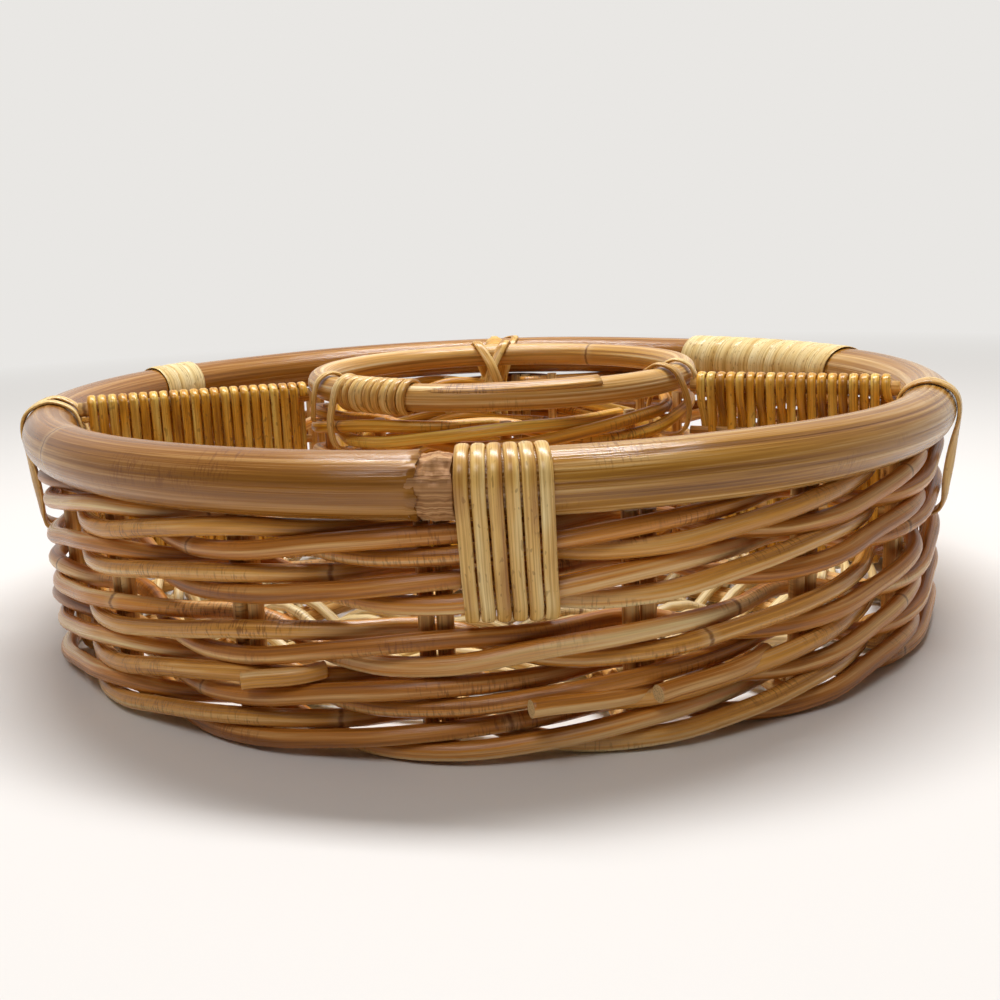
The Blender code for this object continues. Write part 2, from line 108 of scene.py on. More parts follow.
aim = Vector((0, 0, 0.05))
for name, stand, wide, deep, watts in (
        ("lamp_in_front", (-0.30, -0.80, 1.25), 0.7, 0.5, 5.5),
        ("lamp_over_back", (0.05, 0.25, 1.15), 0.9, 0.2, 15.2)):
    bpy.ops.object.light_add(type="AREA", location=stand)
    lamp = bpy.context.object
    lamp.name = name
    lamp.rotation_euler = (aim - Vector(stand)).to_track_quat("-Z", "Y").to_euler()
    lamp.data.shape = "RECTANGLE"
    lamp.data.size = wide
    lamp.data.size_y = deep
    lamp.data.energy = watts

# White paper: matt, so the basket's shadow lies soft on it. From 0.35 m out it fades into an even
# glow of the backdrop's colour, which hides the line where the two meet.
bpy.ops.mesh.primitive_circle_add(vertices=96, radius=4, fill_type="NGON", location=(0, 0, 0))
floor = bpy.context.object
floor.name = "floor"
paper = bpy.data.materials.new("white_paper_floor")
paper.use_nodes = True
tree = paper.node_tree
tree.nodes.clear()
place = add(tree, "TexCoord")
far = add(tree, "VectorMath", {0: place.outputs["Object"]}, operation="LENGTH")
fade = add(tree, "MapRange", {"Value": far.outputs["Value"], "From Min": 0.35, "From Max": 1.3})
matt = add(tree, "BsdfPrincipled", {"Base Color": linear("#E6E4E2"), "Roughness": 0.7})
glow = add(tree, "Emission", {"Color": linear("#E9E7E4"), "Strength": 1.0})
both = add(tree, "MixShader", {0: fade.outputs["Result"], 1: matt.outputs[0], 2: glow.outputs[0]})
add(tree, "OutputMaterial", {"Surface": both.outputs[0]})
floor.data.materials.append(paper)
bpy.context.scene.view_settings.view_transform = "Standard"


# Rim poles.
# Two lengths of thick rattan pole, steamed and bent to a ring, with their skin scraped off.
# They meet at the front, under the front binding, and at the back right, under the wrap.

MM = 0.001
TURN = 2 * math.pi
RIM_RADIUS = 180
RIM_HEIGHT = 84.5


def polar(degrees, radius, height, centre=0.0):
    """A point at an angle about a centre on the x axis, in millimetres, given in metres."""
    angle = math.radians(degrees)
    point = Vector((radius * math.cos(angle), radius * math.sin(angle), height)) * MM
    return point + Vector((centre * MM, 0, 0))


def rod(name, points, thickness, sides=12, steps=4, along=0.0, swell=0.01):
    """A rod through the points, in metres: a mesh with closed ends that swells a little in places.

    Its "fibre" attribute follows it: x and y go round the rod and z along it, in metres.
    """
    curve = bpy.data.curves.new(name, "CURVE")
    curve.dimensions = "3D"
    curve.bevel_depth = 0.5 * MM
    curve.bevel_resolution = sides // 2 - 2
    curve.resolution_u = steps
    curve.use_fill_caps = True
    spline = curve.splines.new("BEZIER")
    spline.bezier_points.add(len(points) - 1)
    for number, (knot, point) in enumerate(zip(spline.bezier_points, points)):
        knot.co = point
        knot.handle_left_type = knot.handle_right_type = "AUTO"
        knot.radius = thickness * (1 + swell * math.sin(number * 0.8 + along * 20))
    made = bpy.data.objects.new(name, curve)
    bpy.context.scene.collection.objects.link(made)
    bpy.ops.object.select_all(action="DESELECT")
    made.select_set(True)
    bpy.context.view_layer.objects.active = made
    bpy.ops.object.convert(target="MESH")
    made = bpy.context.object
    length = sum((b - a).length for a, b in zip(points, points[1:]))
    mesh = made.data
    fibre = mesh.attributes.new("fibre", "FLOAT_VECTOR", "CORNER")
    for corner, uv in enumerate(mesh.uv_layers[0].data):
        turn = uv.uv[1] * TURN
        round_it = Vector((math.cos(turn), math.sin(turn), 0)) * thickness / 2 * MM
        fibre.data[corner].vector = round_it + Vector((0, 0, along + uv.uv[0] * length))
    for face in mesh.polygons:
        face.use_smooth = len(face.vertices) == 4
    bpy.ops.object.mode_set(mode="EDIT")
    bpy.ops.mesh.select_all(action="SELECT")
    bpy.ops.mesh.remove_doubles(threshold=0.00001)
    bpy.ops.object.mode_set(mode="OBJECT")
    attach(made, "root")
    return made


def peeled_rattan(name, light, middle, dark, streak, ring_every, gloss, ridges=0.8, spread=0.23,
                  stripes=0.5, narrow=2):
    """Rattan: long fibres and streaks, dark rings where leaves grew, and fine crackle.

    streak is how many fibres there are to a metre, so 1600 makes them 0.6 mm wide, about twice
    as coarse as real ones, which wouldn't show. Tones change over narrow times that width.
    Leaf rings come every two times ring_every, in metres.
    """
    material = bpy.data.materials.new(name)
    material.use_nodes = True
    tree = material.node_tree
    shader = tree.nodes["Principled BSDF"]
    fibre = add(tree, "Attribute", attribute_name="fibre").outputs["Vector"]

    # Slow changes of tone along the rod, and over them the fibres.
    slow = add(tree, "Mapping", {"Vector": fibre, "Scale": (streak / narrow, streak / narrow, 6)})
    tone = add(tree, "TexNoise", {"Vector": slow.outputs[0], "Scale": 1, "Detail": 4,
                                  "Roughness": 0.6})
    colour = add(tree, "ValToRGB", {"Fac": tone.outputs["Fac"]},
                 stops=((0.49 - spread, dark), (0.49 + spread, light), (0.49, middle)))
    long = add(tree, "Mapping", {"Vector": fibre, "Scale": (streak, streak, 11)})
    streaks = add(tree, "TexNoise", {"Vector": long.outputs[0], "Scale": 1, "Detail": 3,
                                     "Roughness": 0.65})
    shade = add(tree, "ValToRGB", {"Fac": streaks.outputs["Fac"]},
                stops=((0.36, "#B08858"), (0.58, "#FFFFFF")))
    first = add(tree, "MixRGB", {0: stripes, 1: colour.outputs[0], 2: shade.outputs[0]},
                blend_type="MULTIPLY")

    # A leaf ring is a dark line about 1 mm wide, ragged, with paler skin up to 4 mm each side.
    parts = add(tree, "SeparateXYZ", {0: fibre})
    rough_edge = add(tree, "Mapping", {"Vector": fibre, "Scale": (260, 260, 40)})
    jag = add(tree, "TexNoise", {"Vector": rough_edge.outputs[0], "Scale": 1})
    shifted = add(tree, "Math", {0: jag.outputs["Fac"], 1: 0.003, 2: parts.outputs["Z"]},
                  operation="MULTIPLY_ADD")
    ring = add(tree, "Math", {0: shifted.outputs[0], 1: ring_every}, operation="PINGPONG")
    mark = add(tree, "MapRange", {"Value": ring.outputs[0], "From Min": 0.0003,
                                  "From Max": 0.0010, "To Min": 0.7, "To Max": 0})
    band = add(tree, "MapRange", {"Value": ring.outputs[0], "From Min": 0.001,
                                  "From Max": 0.004, "To Min": 0.3, "To Max": 0})
    second = add(tree, "MixRGB", {0: band.outputs[0], 1: first.outputs[0],
                                  2: linear("#E6C48C")})
    third = add(tree, "MixRGB", {0: mark.outputs[0], 1: second.outputs[0],
                                 2: linear("#6A3410")})

    # In patches the skin has fine cracks straight across it, 0.7 mm apart.
    patch = add(tree, "Mapping", {"Vector": fibre, "Scale": (60, 60, 16)})
    where = add(tree, "TexNoise", {"Vector": patch.outputs[0], "Scale": 1, "Detail": 1})
    here = add(tree, "MapRange", {"Value": where.outputs["Fac"], "From Min": 0.55,
                                  "From Max": 0.66})
    fine = add(tree, "Mapping", {"Vector": fibre, "Scale": (260, 260, 1500)})
    ticks = add(tree, "TexNoise", {"Vector": fine.outputs[0], "Scale": 1, "Detail": 2})
    thin = add(tree, "MapRange", {"Value": ticks.outputs["Fac"], "From Min": 0.52,
                                  "From Max": 0.62})
    crackle = add(tree, "Math", {0: here.outputs[0], 1: thin.outputs[0]}, operation="MULTIPLY")
    faint = add(tree, "Math", {0: crackle.outputs[0], 1: 0.6}, operation="MULTIPLY")
    last = add(tree, "MixRGB", {0: faint.outputs[0], 1: third.outputs[0], 2: linear("#6E3A12")})
    tree.links.new(last.outputs[0], shader.inputs["Base Color"])

    # Fibres stand up and cracks and rings lie deeper. The fibres' tops are the glossiest.
    height = add(tree, "Math", {0: tone.outputs["Fac"], 1: ridges, 2: streaks.outputs["Fac"]},
                 operation="MULTIPLY_ADD")
    cut = add(tree, "Math", {0: crackle.outputs[0], 1: -0.1, 2: height.outputs[0]},
              operation="MULTIPLY_ADD")
    deep = add(tree, "Math", {0: mark.outputs[0], 1: -0.3, 2: cut.outputs[0]},
               operation="MULTIPLY_ADD")
    bump = add(tree, "Bump", {"Height": deep.outputs[0], "Strength": 0.5, "Distance": 0.00035})
    tree.links.new(bump.outputs[0], shader.inputs["Normal"])
    sheen = add(tree, "MapRange", {"Value": streaks.outputs["Fac"], "To Min": gloss + 0.12,
                                   "To Max": gloss - 0.06})
    tree.links.new(sheen.outputs[0], shader.inputs["Roughness"])
    shader.inputs["IOR"].default_value = 1.5
    shader.inputs["Specular IOR Level"].default_value = 0.5
    return material


# Scraped pole: tan wood with a clear sheen. The left length is pinkish and smooth, and the right
# one is more olive, with ridges over 1 mm wide that catch long lines of light.
pinkish_pole = peeled_rattan("scraped_rattan_pole_pinkish", "#E8B876", "#A46C24", "#724410",
                             streak=1600, ring_every=0.31, gloss=0.16, ridges=1.2, spread=0.29,
                             stripes=0.4, narrow=3)
olive_pole = peeled_rattan("scraped_rattan_pole_olive", "#F0CE92", "#B98434", "#784812",
                           streak=800, ring_every=0.29, gloss=0.15, ridges=3.0, spread=0.25,
                           stripes=0.45)

for name, node, slot, start, end, material, along in (
        ("left_rim_pole", "rim_pole_left", "left_pole", 34.3, 263.4, pinkish_pole, 0.05),
        ("right_rim_pole", "rim_pole_right", "right_pole", -93.0, 33.7, olive_pole, 0.17)):
    count = round((end - start) / 5)
    bend = []
    for i in range(count + 1):
        angle = start + (end - start) * i / count
        bend.append(polar(angle, RIM_RADIUS + 0.25 * math.sin(angle / 9),
                          RIM_HEIGHT + 0.3 * math.sin(angle / 13 + 1)))
    pole = rod(name, bend, thickness=20.2, sides=32, steps=5, along=along)
    pole.data.materials.append(material)
    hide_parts(node)


# Torn end of the left pole.
# Beside the front binding the left pole was snapped, not sawn. Its skin ends in a ragged edge, and
# the rough brown wood inside it runs on under the binding.

tear = -96.6
left_pole = bpy.data.objects["left_rim_pole"]
bpy.ops.object.select_all(action="DESELECT")
left_pole.select_set(True)
bpy.context.view_layer.objects.active = left_pole
for face in left_pole.data.polygons:
    face.select = False
for edge in left_pole.data.edges:
    edge.select = False
for corner in left_pole.data.vertices:
    corner.select = abs(math.degrees(math.atan2(corner.co.y, corner.co.x)) - tear) < 0.2
bpy.ops.object.mode_set(mode="EDIT")
bpy.ops.transform.vertex_random(offset=0.0022, seed=4)
bpy.ops.object.mode_set(mode="OBJECT")

# Torn wood: dull, with coarse fibres in strong relief that break the light up.
torn_wood = peeled_rattan("torn_rattan_wood", "#E4BC88", "#BC8850", "#7C5026",
                          streak=1500, ring_every=0.53, gloss=0.62, ridges=3.0)
core_line = [polar(262.4 + i * 0.52, RIM_RADIUS, 84.3) for i in range(9)]
core = rod("torn_pole_core", core_line, thickness=19.4, sides=64, steps=6, along=1.3)
for name, kind, grain, depth in (("chips", "VORONOI", 0.007, 0.0022),
                                 ("splinters", "CLOUDS", 0.0025, 0.0017)):
    rough = bpy.data.textures.new(name, kind)
    rough.noise_scale = grain
    lumps = core.modifiers.new(name, "DISPLACE")
    lumps.texture = rough
    lumps.strength = depth
    lumps.mid_level = 0.6
    bpy.ops.object.modifier_apply(modifier=lumps.name)
core.data.materials.append(torn_wood)


# Wall rods.
# Round rattan with its skin on, woven three at a time round the pairs of stakes: each rod goes
# outside two pairs and behind the third. An open band is left between the two woven bands.

STAKE_PAIRS = 18
STAKE_CIRCLE = 176.1
FIRST_STAKE = -96


def woven(strand, bases, stakes, first_stake, circle, swing, rise, start, centre=0.0, wobble=0.0):
    """The path of one of three rods, which climbs from row to row within two stakes.

    bases are the heights of the rows. At each half step between stakes the rod is a share of the
    swing outside the stakes' circle, and a share of the rise above the base of its row.
    """
    across = (0, 1, 1, 1, 0, -1)
    up = (0, 0, 0.5, 1, 1, 1)
    behind_a_stake = 5
    climb = 4
    lowest = 4.0
    gap = 180 / stakes
    turn = 2 * stakes
    first = round((start - first_stake) / gap)
    places = []
    for i in range(climb, turn * len(bases) + 1):
        row, part = divmod(i, turn)
        base = bases[row] if part >= climb else bases[row - 1]
        if 0 < part < climb:
            base += (bases[row] - bases[row - 1]) * part / climb
        phase = (first + i + 1 + 2 * strand) % 6
        uneven = wobble * math.sin(i * 1.7 + strand * 2.1)
        height = max(base + rise * up[phase] + uneven / 2, lowest)
        point = polar(first_stake + (first + i) * gap,
                      circle + swing * across[phase] - abs(uneven) / 2, height, centre)
        places.append((phase, point))
    while places[0][0] != behind_a_stake:
        places.pop(0)
    while places[-1][0] != behind_a_stake:
        places.pop()
    return [point for _, point in places]


# Rattan with its skin on: smooth and glossy, so each rod has a bright line along its top, and in
# patches of honey, brown and straw, with fine cracks.
honey_rods = [
    peeled_rattan("glossy_rattan_rod_honey", "#FAE0A4", "#DA9038", "#743C10", streak=1700,
                  ring_every=0.11, gloss=0.25, spread=0.21, stripes=0.35, narrow=7),
    peeled_rattan("glossy_rattan_rod_amber", "#F8D08A", "#C47C2A", "#64330C", streak=2000,
                  ring_every=0.13, gloss=0.27, spread=0.21, stripes=0.35, narrow=8),
    peeled_rattan("glossy_rattan_rod_straw", "#FCE8B0", "#E2A24A", "#7E4614", streak=1500,
                  ring_every=0.15, gloss=0.24, spread=0.21, stripes=0.35, narrow=6),
]
for band, bases in (("lower", (3.15, 17.0, 30.9)), ("upper", (49.7, 63.55))):
    for strand in range(3):
        path = woven(strand, bases, STAKE_PAIRS, FIRST_STAKE, STAKE_CIRCLE, swing=6.8, rise=7.39,
                     start=134, wobble=1.1)
        made = rod(f"{band}_wall_rod_{strand + 1}", path, thickness=6.0, sides=14, steps=5,
                   along=strand * 0.37, swell=0.045)
        made.data.materials.append(honey_rods[strand])
        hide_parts(f"{band}_weaver_{strand + 1}")


# Cut ends of wall rods.
# Where a rod runs out, its square end is left showing outside the wall and the next one starts
# beside it. Three such ends show at the front, all facing left.

# Sawn end grain: dull and pale, dotted with dark pores 0.4 mm apart.
end_grain = bpy.data.materials.new("sawn_rattan_end_grain")
end_grain.use_nodes = True
tree = end_grain.node_tree
place = add(tree, "TexCoord")
pores = add(tree, "TexVoronoi", {"Vector": place.outputs["Object"], "Scale": 2600})
pits = add(tree, "ValToRGB", {"Fac": pores.outputs["Distance"]},
           stops=((0.12, "#6E4A22"), (0.45, "#D8B47C")))
tree.links.new(pits.outputs[0], tree.nodes["Principled BSDF"].inputs["Base Color"])
tree.nodes["Principled BSDF"].inputs["Roughness"].default_value = 0.8

for number, start, span, height, lift in (
        (1, -114.2, 7, 25.4, 1.5), (2, -87.4, 13, 19.8, -1.5), (3, -75.9, 14, 20.7, 2)):
    path = []
    for i in range(8):
        share = i / 7
        out = 186.6 + 3.4 * (1 - share) ** 5 - 8 * share ** 3
        path.append(polar(start + span * share, out, height + lift * share))
    stub = rod(f"cut_wall_rod_{number}", path, thickness=5.6, sides=14, steps=6,
               along=number * 0.61)
    stub.data.materials.append(honey_rods[(number + 1) % 3])
    stub.data.materials.append(end_grain)
    for face in stub.data.polygons:
        if not face.use_smooth:
            face.material_index = 1


# Stakes.
# Eighteen long rods, each bent back on itself to a hairpin. Its turn lies against the floor disc,
# its legs run out side by side as ribs of the floor and stand up inside the weave to the rim.

HALF_PAIR = 2.85

# Rattan without its skin: pale, with little shine, so stakes look flat beside the glossy rods.
plain_rattan = peeled_rattan("round_rattan_core_pale", "#FADC98", "#E6B464", "#A87434",
                             streak=1300, ring_every=0.24, gloss=0.5)
profile = ((STAKE_CIRCLE, 73.7), (STAKE_CIRCLE, 55), (STAKE_CIRCLE, 34), (STAKE_CIRCLE, 15),
           (175.9, 8.5), (174.2, 4.6), (170.3, 3.7), (160, 5.7), (145, 8.4), (117, 11),
           (90, 12.2), (60, 12.7), (42, 12.8), (37.5, 12.8))
for number in range(STAKE_PAIRS):
    angle = FIRST_STAKE + number * 360 / STAKE_PAIRS
    leg, back = [], []
    for radius, height in profile:
        for side, points in ((1, leg), (-1, back)):
            points.append(polar(angle, radius, height) + polar(angle + 90, HALF_PAIR * side, 0))
    bend = polar(angle, 35.6, 12.8)
    hairpin = rod(f"stake_pair_{number + 1:02d}", leg + [bend] + back[::-1], thickness=5.2,
                  sides=10, steps=3, along=number * 0.23)
    hairpin.data.materials.append(plain_rattan)
    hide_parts(f"stake_{number + 1:02d}")


# Floor.
# A round of wood in the middle, its edge turned and softened, holds the bends of the stakes. Two
# thinner rods are woven over and under the stakes to close the floor, and one lies at its edge.

# Sanded light wood: dull, with straight grain in lines 2.5 mm apart.
floor_wood = bpy.data.materials.new("sanded_light_wood")
floor_wood.use_nodes = True
tree = floor_wood.node_tree
place = add(tree, "TexCoord")
stretch = add(tree, "Mapping", {"Vector": place.outputs["Object"], "Scale": (40, 400, 400)})
grain = add(tree, "TexNoise", {"Vector": stretch.outputs[0], "Scale": 1, "Detail": 6,
                               "Distortion": 0.6})
tones = add(tree, "ValToRGB", {"Fac": grain.outputs["Fac"]},
            stops=((0.35, "#A97B45"), (0.65, "#D9B27A")))
tree.links.new(tones.outputs[0], tree.nodes["Principled BSDF"].inputs["Base Color"])
bump = add(tree, "Bump", {"Height": grain.outputs["Fac"], "Strength": 0.2, "Distance": 0.0003})
tree.links.new(bump.outputs[0], tree.nodes["Principled BSDF"].inputs["Normal"])
tree.nodes["Principled BSDF"].inputs["Roughness"].default_value = 0.55

bpy.ops.mesh.primitive_cylinder_add(vertices=96, radius=0.0322, depth=0.0058,
                                    location=(0, 0, 0.01279))
disc = bpy.context.object
disc.name = "turned_floor_disc"
bpy.ops.object.transform_apply()
bpy.ops.object.mode_set(mode="EDIT")
bpy.ops.mesh.select_all(action="DESELECT")
bpy.ops.object.mode_set(mode="OBJECT")
for face in disc.data.polygons:
    face.select = abs(face.normal.z) > 0.9
bpy.ops.object.mode_set(mode="EDIT")
bpy.ops.mesh.inset(thickness=0.004)
bpy.ops.mesh.inset(thickness=0.0006)
bpy.ops.transform.translate(value=(0, 0, -0.0003))
bpy.ops.object.mode_set(mode="OBJECT")
round_off = disc.modifiers.new("softened_edge", "BEVEL")
round_off.width = 0.0009
round_off.segments = 3
bpy.ops.object.modifier_apply(modifier=round_off.name)
bpy.ops.object.shade_smooth_by_angle(angle=math.radians(35))
disc.data.materials.append(floor_wood)
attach(disc, "root")
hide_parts("floor_disc")

# The same core rattan, creamier, so the floor shows pale through the open band of the wall: a lit
# copy, whose paleness is painted light falling on the floor.
lit_cream_rattan = peeled_rattan("round_rattan_core_cream", "#FCF0CC", "#F2DCA0", "#C89C58",
                             streak=1300, ring_every=0.21, gloss=0.4)
weave_from, weave_to, weave_pitch = 90, 157, 9.1
half_step = 5.0
crown, crown_edge = 9.5, 3.3
lowest = 2.15
turns = (weave_to - weave_from) / weave_pitch - 0.5
for strand in range(2):
    path = []
    for i in range(int(turns * STAKE_PAIRS) + 1):
        radius = weave_from + weave_pitch * (i / STAKE_PAIRS + strand / 2)
        gap = radius * TURN / (2 * STAKE_PAIRS)
        swing = half_step / (1 - HALF_PAIR / gap) * math.hypot(1, half_step / gap)
        middle = crown_edge + crown * (1 - (radius / STAKE_CIRCLE) ** 4)
        height = max(middle + (swing if (i + strand) % 2 else -swing), lowest)
        path.append(polar(FIRST_STAKE + i * 360 / STAKE_PAIRS, radius, height))
    floor_rod = rod(f"floor_rod_{strand + 1}", path, thickness=3.9, sides=8, steps=5,
                    along=strand * 0.4)
    floor_rod.data.materials.append(lit_cream_rattan)
    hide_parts(f"floor_weaver_{strand + 1}")
edge = [polar(-90 + i * 9.97, 162.2, 9.9) for i in range(37)]
edge_rod = rod("floor_edge_rod", edge, thickness=3.9, sides=8, steps=4, along=0.8)
edge_rod.data.materials.append(lit_cream_rattan)


# Middle compartment.
# A ring of thinner pole on nine upright stakes, a little off the middle and higher than the rim,
# with a wall of its own woven in the same way. The ring's two ends lap under its cane wrap.

RING_CENTRE = 5.4
RING_RADIUS = 78
RING_HEIGHT = 95.3
RING_JOINT = -128
INNER_STAKES = 9
INNER_CIRCLE = 75.35
FIRST_INNER_STAKE = -50

for number in range(INNER_STAKES):
    angle = FIRST_INNER_STAKE + number * 360 / INNER_STAKES
    path = [polar(angle, INNER_CIRCLE, height, RING_CENTRE) for height in (16, 35, 60, 86)]
    stake = rod(f"inner_wall_stake_{number + 1}", path, thickness=4.4, sides=12, steps=3,
                along=number * 0.19)
    stake.data.materials.append(plain_rattan)
    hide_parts(f"inner_stake_{number + 1}")

# Rattan with its skin on again, less glossy, in a shaded copy for the inner wall: its deeper,
# warmer gold is painted bounce light, so the inner wall looks warm and soft.
shaded_rods = [
    peeled_rattan("glossy_rattan_rod_golden", "#FADC6E", "#F0AE30", "#8C5410",
                  streak=1300, ring_every=0.12, gloss=0.33),
    peeled_rattan("glossy_rattan_rod_brown", "#F8CC62", "#E29C28", "#7E4A0C",
                  streak=1200, ring_every=0.14, gloss=0.33),
    peeled_rattan("glossy_rattan_rod_light", "#FCE682", "#F6BA40", "#986214",
                  streak=1100, ring_every=0.16, gloss=0.32),
]
for strand in range(3):
    path = woven(strand, (23.9, 35.9, 47.8, 59.8, 77.3), INNER_STAKES, FIRST_INNER_STAKE,
                 INNER_CIRCLE, swing=5.15, rise=6.48, start=30, centre=RING_CENTRE)
    made = rod(f"inner_wall_rod_{strand + 1}", path, thickness=5.0, sides=12, steps=6,
               along=strand * 0.43 + 0.1)
    made.data.materials.append(shaded_rods[strand])
    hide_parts(f"inner_weaver_{strand + 1}")

# Scraped pole again, paler than the rim and with a softer sheen, streaked with tan.
ring_pole_skin = peeled_rattan("scraped_rattan_ring_pole", "#FCECBC", "#E2AE5C", "#946022",
                               streak=1100, ring_every=0.17, gloss=0.26)
path = [polar(RING_JOINT + i * 9, RING_RADIUS, RING_HEIGHT, RING_CENTRE) for i in range(41)]
path[0] += (path[1] - path[0]) * 0.02
path[-1] += (path[-2] - path[-1]) * 0.02
ring = rod("inner_ring", path, thickness=10.5, sides=24, steps=5, along=0.09)
ring.data.materials.append(ring_pole_skin)
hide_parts("inner_ring_pole")


# Front binding.
# Six tight turns of split cane, half round, over the joint of the rim poles. Each goes over the
# pole, straight down outside the upper band, and back in through the open band.

OUTSIDE = 186
HANG_TOP, HANG_END = 82, 46


def flowing(points, steps):
    """A smooth line through the points, with the same number of steps between each two."""
    ends = [points[0] * 2 - points[1], *points, points[-1] * 2 - points[-2]]
    line = []
    for a, b, c, d in zip(ends, ends[1:], ends[2:], ends[3:]):
        for i in range(steps):
            t = i / steps
            line.append((b * 2 + (c - a) * t + (a * 2 - b * 5 + c * 4 - d) * t * t
                         + (b * 3 - a - c * 3 + d) * t ** 3) / 2)
    return line + [points[-1]]


def cane(name, points, across, width, thick, sides=14, along=0.0):
    """A split cane: a rounded strip along the points, its width in the direction given at each.

    Its "fibre" attribute goes across the cane in x, through it in y and along it in z.
    """
    corners, faces, fibres = [], [], []
    travelled = along
    for i, point in enumerate(points):
        ahead = points[min(i + 1, len(points) - 1)] - points[max(i - 1, 0)]
        if i:
            travelled += (point - points[i - 1]).length
        side = across[i].normalized()
        proud = ahead.cross(side).normalized()
        side = proud.cross(ahead).normalized()
        for k in range(sides):
            turn = TURN * k / sides
            x = math.copysign(abs(math.cos(turn)) ** 0.75, math.cos(turn)) * width / 2 * MM
            y = math.sin(turn) * thick / 2 * MM
            corners.append(point + side * x + proud * y)
            fibres.append(Vector((x, y, travelled)))
    for i in range(len(points) - 1):
        for k in range(sides):
            a, b = i * sides + k, i * sides + (k + 1) % sides
            faces.append((a, a + sides, b + sides, b))
    faces.append(tuple(range(sides)))
    faces.append(tuple(range(len(corners) - 1, len(corners) - 1 - sides, -1)))
    mesh = bpy.data.meshes.new(name)
    mesh.from_pydata(corners, [], faces)
    fibre = mesh.attributes.new("fibre", "FLOAT_VECTOR", "CORNER")
    for loop in mesh.loops:
        fibre.data[loop.index].vector = fibres[loop.vertex_index]
    for face in mesh.polygons:
        face.use_smooth = len(face.vertices) == 4
    made = bpy.data.objects.new(name, mesh)
    bpy.context.scene.collection.objects.link(made)
    bpy.ops.object.select_all(action="DESELECT")
    made.select_set(True)
    bpy.context.view_layer.objects.active = made
    bpy.ops.object.mode_set(mode="EDIT")
    bpy.ops.mesh.select_all(action="SELECT")
    bpy.ops.mesh.normals_make_consistent(inside=False)
    bpy.ops.object.mode_set(mode="OBJECT")
    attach(made, "root")
    return made


def laid(places, steps, centre=0.0, twist=0.0):
    """Points and width directions of a cane that runs through places: angle, radius, height.

    Where it hangs outside the rim it turns by the twist, in degrees, and back again.
    """
    points, across = [], []
    for angle, out, height in flowing([Vector(place) for place in places], steps):
        hanging = 0
        if out > OUTSIDE and HANG_END < height < HANG_TOP:
            hanging = math.sin(math.pi * (HANG_TOP - height) / (HANG_TOP - HANG_END))
        points.append(polar(angle, out, height, centre))
        across.append(polar(angle + 90 + twist * hanging, 1, 0))
    return points, across


def wound(section, middle, loops, pitch, radius, centre=0.0, steps=4, gather=1.0, twist=0.0):
    """Points and width directions of a cane wound on a ring at an angle about a middle.

    The section gives radius, height and the share of the pitch already gone at each corner.
    Outside the rim the turns draw together to the given share of the pitch.
    """
    places = []
    for turn in range(loops):
        for out, height, gone in section:
            share = gather if out > OUTSIDE else 1
            angle = middle + math.degrees((turn + gone - loops / 2) * share * pitch / radius)
            places.append((angle, out, height))
    places.append((middle + math.degrees(loops / 2 * pitch / radius), *section[0][:2]))
    return laid(places, steps, centre, twist)


def split_cane(name, light, middle, dark):
    """Split cane: straight fibres 0.5 mm wide, and a few brown flecks about 1 by 2 mm.

    Real fibres are finer than that, and wouldn't show.
    """
    material = bpy.data.materials.new(name)
    material.use_nodes = True
    tree = material.node_tree
    shader = tree.nodes["Principled BSDF"]
    fibre = add(tree, "Attribute", attribute_name="fibre").outputs["Vector"]
    slow = add(tree, "Mapping", {"Vector": fibre, "Scale": (150, 150, 22)})
    tone = add(tree, "TexNoise", {"Vector": slow.outputs[0], "Scale": 1, "Detail": 3})
    colour = add(tree, "ValToRGB", {"Fac": tone.outputs["Fac"]},
                 stops=((0.30, dark), (0.70, light), (0.48, middle)))
    long = add(tree, "Mapping", {"Vector": fibre, "Scale": (1900, 1900, 18)})
    hair = add(tree, "TexNoise", {"Vector": long.outputs[0], "Scale": 1, "Detail": 2})
    line = add(tree, "ValToRGB", {"Fac": hair.outputs["Fac"]},
               stops=((0.38, "#C2A878"), (0.56, "#FFFFFF")))
    lined = add(tree, "MixRGB", {0: 0.6, 1: colour.outputs[0], 2: line.outputs[0]},
                blend_type="MULTIPLY")
    spots = add(tree, "Mapping", {"Vector": fibre, "Scale": (900, 900, 420)})
    fleck = add(tree, "TexNoise", {"Vector": spots.outputs[0], "Scale": 1, "Detail": 0})
    few = add(tree, "MapRange", {"Value": fleck.outputs["Fac"], "From Min": 0.70,
                                 "From Max": 0.76, "To Max": 0.45})
    flecked = add(tree, "MixRGB", {0: few.outputs[0], 1: lined.outputs[0],
                                   2: linear("#8A6030")})
    tree.links.new(flecked.outputs[0], shader.inputs["Base Color"])
    bump = add(tree, "Bump", {"Height": hair.outputs["Fac"], "Strength": 0.3,
                              "Distance": 0.0002})
    tree.links.new(bump.outputs[0], shader.inputs["Normal"])
    shader.inputs["Roughness"].default_value = 0.27
    shader.inputs["IOR"].default_value = 1.5
    shader.inputs["Specular IOR Level"].default_value = 0.45
    return material


# Split cane with its own waxy skin: pale straw, with a sharp highlight along each turn.
pale_cane = split_cane("waxed_split_cane_pale", "#FAE3A6", "#E9BC6A", "#B67E38")
over_rim = [(165.0, 51, 0.2), (168, 46, 0.3), (177, 45.2, 0.3), (183.8, 45.4, 0.3),
            (187.0, 49.5, 0.3), (187.8, 58, 0.2), (189.3, 71, 0.1), (191.1, 84.5, 0),
            (188.4, 92.0, 0), (180, 95.5, 0), (171.6, 92.0, 0.1), (168.4, 84.5, 0.25),
            (165.6, 72, 0.6), (164.6, 61, 0.85)]
points, across = wound(over_rim, middle=-88.4, loops=6, pitch=4.5, radius=RIM_RADIUS)
front = cane("front_cane_binding", points, across, width=4.15, thick=2.0)
front.data.materials.append(pale_cane)
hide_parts("front_binding")


# Bindings where the dividers meet the rim.
# At the end of each divider two turns of the same cane go over the rim, one each side of the
# divider's rail, and draw together outside it. They hold the rail against the pole.

